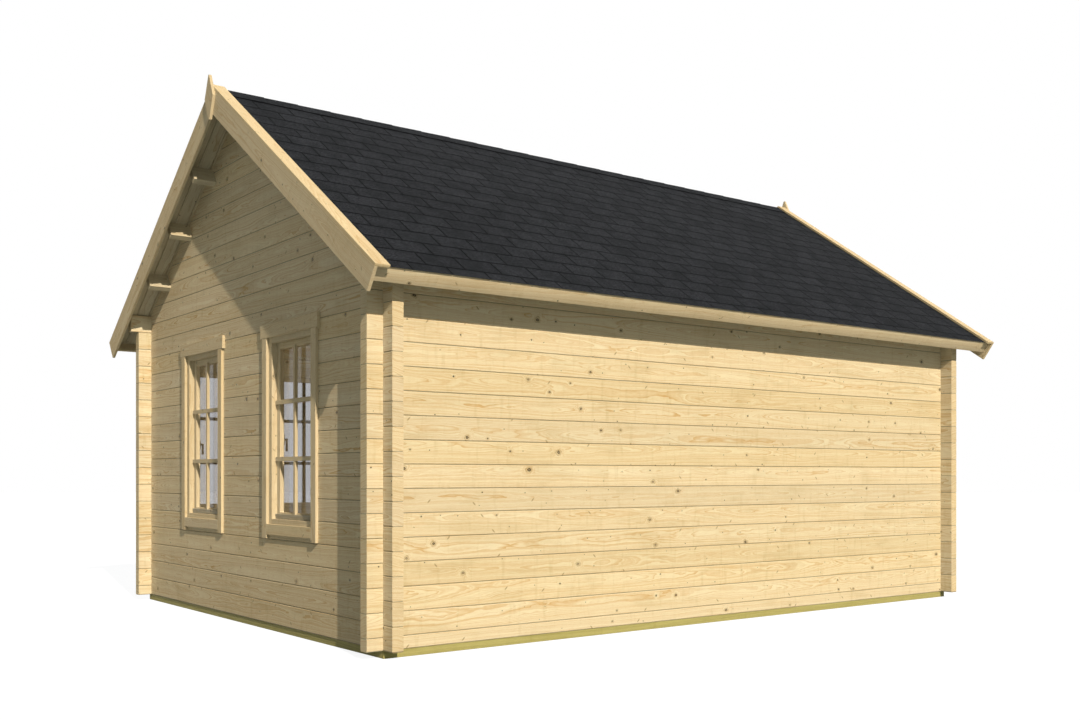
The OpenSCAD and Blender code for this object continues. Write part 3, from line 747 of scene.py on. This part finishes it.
def lever(bm, place, low, high, out, fall, standoff):
    """A back plate with its screws, a neck, and a lever that falls from it, out from the leaf."""
    x, y, z = (low.x + high.x) / 2, low.y if out > 0 else high.y, high.z - plate_tall / 2
    front, grip = y + out * plate_thick, y + out * standoff
    plank(bm, place, (x - plate_wide / 2, min(y, front), z - plate_tall / 2),
          (x + plate_wide / 2, max(y, front), z + plate_tall / 2), plate_round, 4)
    for up in (-screw_up, screw_up):
        round_bar(bm, place, (x, y + out * screw_foot, z + up), (x, y + out * screw_head, z + up),
                  screw_thick, ease=0.0006, segments=12)
    round_bar(bm, place, (x, y + out * neck_foot, z), (x, grip + out * neck_past, z), neck_thick,
              neck_tip)
    round_bar(bm, place, (x, grip, z + grip_over), (x, grip, z - fall), grip_thick, grip_tip,
              grip_round)


def window_handles(wall):
    """The handles that stand on the inner face of one wall."""
    furthest_in = 0.2
    return [(low, high) for low, high in in_wall(wall, "window_handles")
            if low.y > log_thick - 0.001 and high.y < furthest_in]


handle_fall, handle_out = 0.075, 0.026
bm = bmesh.new()
for wall, place in wall_places.items():
    for low, high in window_handles(wall):
        lever(bm, place, low, high, 1, handle_fall, handle_out)
finished("handles", bm, [bronze], ["window_handles"])

# Two hinges stand on the side of each sash that has no handle.
barrel_long, barrel_thick, barrel_round, hinge_in = 0.060, 0.008, 0.001, 0.170
leaf_wide, leaf_tall, leaf_thick, leaf_round = 0.024, 0.044, 0.0015, 0.0005
pin_in, pin_out, beside_stile = 0.003, 0.004, 0.1
bm = bmesh.new()
for wall, place in wall_places.items():
    grips = [(low.x + high.x) / 2 for low, high in window_handles(wall)]
    for low, high in in_wall(wall, wall + "_window_sashes"):
        at_low = any(abs(grip - low.x) < beside_stile for grip in grips)
        at_high = any(abs(grip - high.x) < beside_stile for grip in grips)
        x = low.x + pin_in if at_high and not at_low else high.x - pin_in
        y = high.y + pin_out
        for up in (low.z + hinge_in, high.z - hinge_in):
            round_bar(bm, place, (x, y, up - barrel_long / 2), (x, y, up + barrel_long / 2),
                      barrel_thick, ease=barrel_round, segments=12)
            plank(bm, place, (x - leaf_wide / 2, high.y, up - leaf_tall / 2),
                  (x + leaf_wide / 2, high.y + leaf_thick, up + leaf_tall / 2), leaf_round, 1)
finished("hinges", bm, [bronze])

# ---------------------------------------------------------------------------------------------
# Double door
# A frame let into the front wall and two leaves: stiles and rails round a tall glazed light,
# over a panel of narrow upright boards. Flat casings cover the joint outside and inside.
at_front = wall_places["front"]
door_jamb, door_stile, door_rail, foot_rail, lower_panel = 0.045, 0.100, 0.100, 0.140, 0.620
bm = bmesh.new()
for low, high in in_wall("front", "door_frame"):
    joined_frame(bm, at_front, low, high, door_jamb, door_jamb)
finished("doorway_frame", bm, [trim_pine], ["door_frame"], 0.19)

panel_board, panel_back, panel_arris = 0.0905, 0.012, 0.003
door_bar_front, door_bar_back = 0.003, 0.021
bm = bmesh.new()
for low, high in in_wall("front", "door_leaves"):
    x0, x1 = low.x + door_stile, high.x - door_stile
    waist = low.z + lower_panel
    for a, b in ((low.x, x0), (x1, high.x)):
        plank(bm, at_front, (a, low.y, low.z), (b, high.y, high.z), sash_arris)
    for a, b in ((low.z, low.z + foot_rail), (waist - door_rail, waist),
                 (high.z - door_rail, high.z)):
        plank(bm, at_front, (x0, low.y, a), (x1, high.y, b), sash_arris)
    boards = round((x1 - x0) / panel_board)
    wide = (x1 - x0) / boards
    for k in range(boards):
        plank(bm, at_front, (x0 + k * wide, low.y + panel_back, low.z + foot_rail),
              (x0 + (k + 1) * wide, high.y - panel_back, waist - door_rail), panel_arris, 1)
    mid, front, back = (x0 + x1) / 2, low.y + door_bar_front, low.y + door_bar_back
    plank(bm, at_front, (mid - bar / 2, front + hair, waist),
          (mid + bar / 2, back - hair, high.z - door_rail))
    for up in bar_heights:
        plank(bm, at_front, (x0, front, up - level_bar / 2), (x1, back, up + level_bar / 2))
finished("door_joinery", bm, [trim_pine], ["door_leaves"], 0.83)

dressed("door_glass", pane)
planed("doorway_casings", ["door_casings"], trim_pine, 0.47)

lever_fall, lever_out = 0.120, 0.045
bm = bmesh.new()
for low, high in in_wall("front", "door_handles"):
    inside = low.y > log_thick / 2
    lever(bm, at_front, low, high, 1 if inside else -1, lever_fall, lever_out)
finished("door_levers", bm, [bronze], ["door_handles"])

# The leaves hang on their outer stiles, from hinges that stand outside.
hinge_long, hinge_thick, hinge_out = 0.090, 0.013, 0.005
hinge_heights = (0.20, 0.93, 1.66)
bm = bmesh.new()
for low, high in in_wall("front", "door_leaves"):
    x, y = low.x if low.x + high.x < 0 else high.x, low.y - hinge_out
    for up in hinge_heights:
        round_bar(bm, at_front, (x, y, low.z + up), (x, y, low.z + up + hinge_long), hinge_thick,
                  segments=12)
finished("door_hinges", bm, [bronze])

# ---------------------------------------------------------------------------------------------
# Purlins
# Squared spruce bars laid along the cabin from gable to gable under the roof, their ends
# running out to carry the verge.
roof_pine = wooden("roof_pine", "ecdab4", "c9a977", "564a30", heart=0.04, knots=0.24)
planed("purlin_bars", ["ridge_purlin", "back_purlins", "front_purlins"], roof_pine,
       0.31)

# ---------------------------------------------------------------------------------------------
# Roof boards
# Narrow planed spruce boards nailed side by side from eave to ridge, with a thin open joint
# between them and their edges eased on the face seen from below.
pitch = math.radians(34.5)
rafter_top = 3.5493


def slope_place(side):
    """Along the ridge, down the slope from the ridge, and out of it. Side is -1 at the back."""
    return Matrix((
        (side, 0, 0, 0),
        (0, side * math.cos(pitch), side * math.sin(pitch), 0),
        (0, -math.sin(pitch), math.cos(pitch), rafter_top),
        (0, 0, 0, 1)))


def trim_at_ridge(bm, side, gap=0.0002):
    """Cuts everything that runs over the ridge to a plumb face."""
    bmesh.ops.bisect_plane(bm, geom=list(bm.verts) + list(bm.edges) + list(bm.faces), dist=1e-6,
                           plane_co=(0, side * gap, 0), plane_no=(0, side, 0), clear_inner=True)
    bmesh.ops.holes_fill(bm, edges=[e for e in bm.edges if e.is_boundary])


def slope_end(node, top):
    """How far down the slope a node reaches, if its upper face lies top above the rafter line."""
    low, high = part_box(node)
    return (max(abs(low.y), abs(high.y)) - top * math.sin(pitch)) / math.cos(pitch)


roof_boards, roof_joint, roof_thick, roof_arris, past_ridge = 63, 0.0035, 0.020, 0.003, 0.020
for side, wall in ((-1, "back"), (1, "front")):
    node = wall + "_roof_boards"
    low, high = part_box(node)
    end = slope_end(node, roof_thick)
    wide = (high.x - low.x) / roof_boards
    place = slope_place(side)
    back = place.inverted()
    bm = bmesh.new()
    for k in range(roof_boards):
        start = low.x + k * wide
        corners = block(bm, place, (start + roof_joint / 2, -past_ridge, 0),
                        (start + wide - roof_joint / 2, end, roof_thick))
        under = [e for e in edges_of(corners)
                 if e.calc_length() > 1 and all((back @ v.co).z < 0.001 for v in e.verts)]
        eased(bm, under, roof_arris, 1)
    trim_at_ridge(bm, side)
    finished(wall + "_roof_boarding", bm, [roof_pine], [node], 0.43 + side * 0.1)

# ---------------------------------------------------------------------------------------------
# Fascias
# One planed spruce board along each eave, nailed to the lower ends of the roof boards, so that
# it hides their sawn ends.
planed("eave_fascias", ["back_fascia", "front_fascia"], trim_pine, 0.59)

# ---------------------------------------------------------------------------------------------
# Barge boards
# Wide planed spruce boards up the verges, nailed to the ends of the purlins, so that they close
# the edge of the roof. Each pair meets at the ridge with a plumb cut.
planed("barge_boards", ["left_back_barge", "left_front_barge", "right_back_barge",
                        "right_front_barge"], trim_pine, 0.67)

# ---------------------------------------------------------------------------------------------
# Shingles
# Bitumen strips faced with charcoal mineral granules, in courses that lap the one below. Each
# strip is slit into square tabs, and the slits of every other course stand half a tab over.
charcoal, tree = unmixed("charcoal_shingle")
spot = put(tree, "TexCoord").outputs["Object"]
on_tab = split(tree, put(tree, "Attribute", attribute_name="grain").outputs["Vector"])
own = put(tree, "Attribute", attribute_name="board").outputs["Fac"]
grit = put(tree, "TexVoronoi", spot, None, 420.0, voronoi_dimensions="3D").outputs
fleck = split(tree, grit["Color"])
clump = put(tree, "TexVoronoi", spot, None, 125.0, voronoi_dimensions="3D").outputs["Color"]
clump = split(tree, clump)[0]
drift = noise(tree, vec(tree, "MULTIPLY", spot, (70, 70, 70)), 3.0, 0.8)[0]
worn = noise(tree, vec(tree, "MULTIPLY", spot, (7, 7, 7)), 4.0, 0.65)[0]
blotch = noise(tree, vec(tree, "MULTIPLY", spot, (1.1, 1.1, 1.1)), 2.0)[0]
speckle = calc(tree, "MULTIPLY_ADD", clump, 0.45, calc(tree, "MULTIPLY", fleck[0], 0.3))
speckle = calc(tree, "ADD", speckle, smooth(tree, drift, 0.3, 0.7, 0.0, 0.45), clamp=True)
mineral = colours(tree, speckle, tint("08090a"), tint("38393c"))
mineral = colours(tree, calc(tree, "MULTIPLY", smooth(tree, worn, 0.4, 0.65), 0.5), mineral,
                  tint("1b1d1e"))
tone = calc(tree, "ADD", smooth(tree, own, 0.0, 1.0, 0.93, 1.10),
            calc(tree, "MULTIPLY_ADD", blotch, 0.3, -0.15))
mineral = colours(tree, 1.0, mineral, put(tree, "CombineXYZ", tone, tone, tone).outputs[0],
                  "MULTIPLY")
# Each tab is painted darker along its sides at the slits and just under the course above: painted
# shade.
slit_and_lap_shade = calc(tree, "MAXIMUM", smooth(tree, on_tab[2], 0.003, 0.013, 0.95, 0.0),
           smooth(tree, calc(tree, "MINIMUM", on_tab[0], on_tab[1]), 0.0, 0.006, 0.95, 0.0))
mineral = colours(tree, slit_and_lap_shade, mineral, tint("040405"))
skin = surface(tree, mineral, smooth(tree, fleck[1], 0.0, 1.0, 0.75, 0.95), grit["Distance"],
               0.7, 0.0008)
skin.inputs["Specular IOR Level"].default_value = 0.03
put(tree, "OutputMaterial", skin.outputs[0])

bitumen, tree = unmixed("bitumen_edge")
spot = put(tree, "TexCoord").outputs["Object"]
lump = noise(tree, vec(tree, "MULTIPLY", spot, (220, 220, 220)), 3.0, 0.6)[0]
skin = surface(tree, colours(tree, lump, tint("0d0e10"), tint("1d1f22")),
               smooth(tree, lump, 0.2, 0.8, 0.6, 0.9), lump, 0.6, 0.001)
put(tree, "OutputMaterial", skin.outputs[0])


def felt():
    """An empty mesh whose points keep their place on their tab, and their tab's number."""
    bm = bmesh.new()
    bm.verts.layers.float_vector.new("grain")
    bm.verts.layers.float.new("board")
    return bm


first_course, exposed, tab, slit, tucked = 0.092, 0.1523, 0.251, 0.006, 0.030
slit_shift = (0.025, 0.152)
tab_thick, lift, least_wide, least_shown = 0.0026, 0.0026, 0.020, 0.010
sheet_under, sheet_over, sheet_back, shingle_top = 0.0203, 0.0206, 0.004, 0.0253


def shingle_tab(bm, place, x0, x1, s0, s1, seen_from, number, low=sheet_over):
    """One tab, tucked under the course above and lying on the course below, cut edges black."""
    grain = bm.verts.layers.float_vector["grain"]
    board = bm.verts.layers.float["board"]
    corners = block(bm, place, (x0, s0, low), (x1, s1, low + tab_thick))
    back = place.inverted()
    out = place.to_3x3().col[2]
    for v in corners:
        at = back @ v.co
        v.co += out * (lift * (at.y - s0) / (s1 - s0))
        v[grain] = (at.x - x0, x1 - at.x, at.y - seen_from)
        v[board] = number
    for face in once(f for v in corners for f in v.link_faces):
        face.material_index = 0 if face.normal.dot(out) > 0.9 else 1


for side, wall in ((-1, "back"), (1, "front")):
    low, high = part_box(wall + "_shingles")
    eave = slope_end(wall + "_shingles", shingle_top)
    place = slope_place(side)
    bm = felt()
    block(bm, place, (low.x, 0, sheet_under), (high.x, eave - sheet_back, sheet_over))
    for face in bm.faces:
        face.material_index = 1
    course, top = 0, first_course
    while top < eave - least_shown:
        foot = min(top + exposed, eave)
        start = slit_shift[course % 2] - half_long - 2 * tab
        count = 0
        while start < high.x:
            x0, x1 = max(start + slit / 2, low.x), min(start + tab - slit / 2, high.x)
            if x1 - x0 > least_wide:
                a, b = sorted((side * x0, side * x1))
                number = (course * 0.381966 + count * 0.618034 + (count * course) * 0.1459) % 1
                shingle_tab(bm, place, a, b, top - tucked, foot, top, number)
            start, count = start + tab, count + 1
        course, top = course + 1, top + exposed
    finished(wall + "_shingle_courses", bm, [charcoal, bitumen], [wall + "_shingles"])

# ---------------------------------------------------------------------------------------------
# Ridge caps
# Pieces of the same shingle bent over the ridge and nailed down, each lapping the one before it,
# so that the last course is covered on both slopes.
cap_down, cap_low, cap_lap, cap_over, least_cap = 0.092, 0.0258, 0.030, 0.030, 0.040
# No course lies over a cap, so none of it gets the painted shade of a lap.
open_above = -0.1
low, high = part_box("ridge_cap")
bm = felt()
start, count = slit_shift[1] - half_long - 2 * tab, 0
while start < high.x:
    x0, x1 = max(start - cap_lap, low.x), min(start + tab, high.x)
    if x1 - x0 > least_cap:
        for side in (-1, 1):
            a, b = sorted((side * x0, side * x1))
            place = slope_place(side)
            half = felt()
            number = (count * 0.618034) % 1
            shingle_tab(half, place, a, b, -cap_over, cap_down, open_above, number, cap_low)
            for v in half.verts:
                at = place.inverted() @ v.co
                rise = (side * at.x - x0) / (x1 - x0)
                rise -= (at.y + cap_over) / (cap_down + cap_over)
                v.co += place.to_3x3().col[2] * lift * rise
            trim_at_ridge(half, side, 0.0)
            mesh = bpy.data.meshes.new("cap")
            half.to_mesh(mesh)
            half.free()
            bm.from_mesh(mesh)
            bpy.data.meshes.remove(mesh)
    start, count = start + tab, count + 1
finished("ridge_caps", bm, [charcoal, bitumen], ["ridge_cap"])

# ---------------------------------------------------------------------------------------------
# Cover boards
# Planed spruce boards laid flat over the edge of the shingles along each verge, and nailed
# through them, so that the wind can't lift them.
planed("verge_covers", ["left_back_cover", "left_front_cover", "right_back_cover",
                        "right_front_cover"], trim_pine, 0.73)

# ---------------------------------------------------------------------------------------------
# Finials
# A planed spruce board on each gable's peak, sawn to a lozenge with long points and nailed over
# the joint of the barge boards.
planed("finial_boards", ["left_finial", "right_finial"], trim_pine, 0.79)
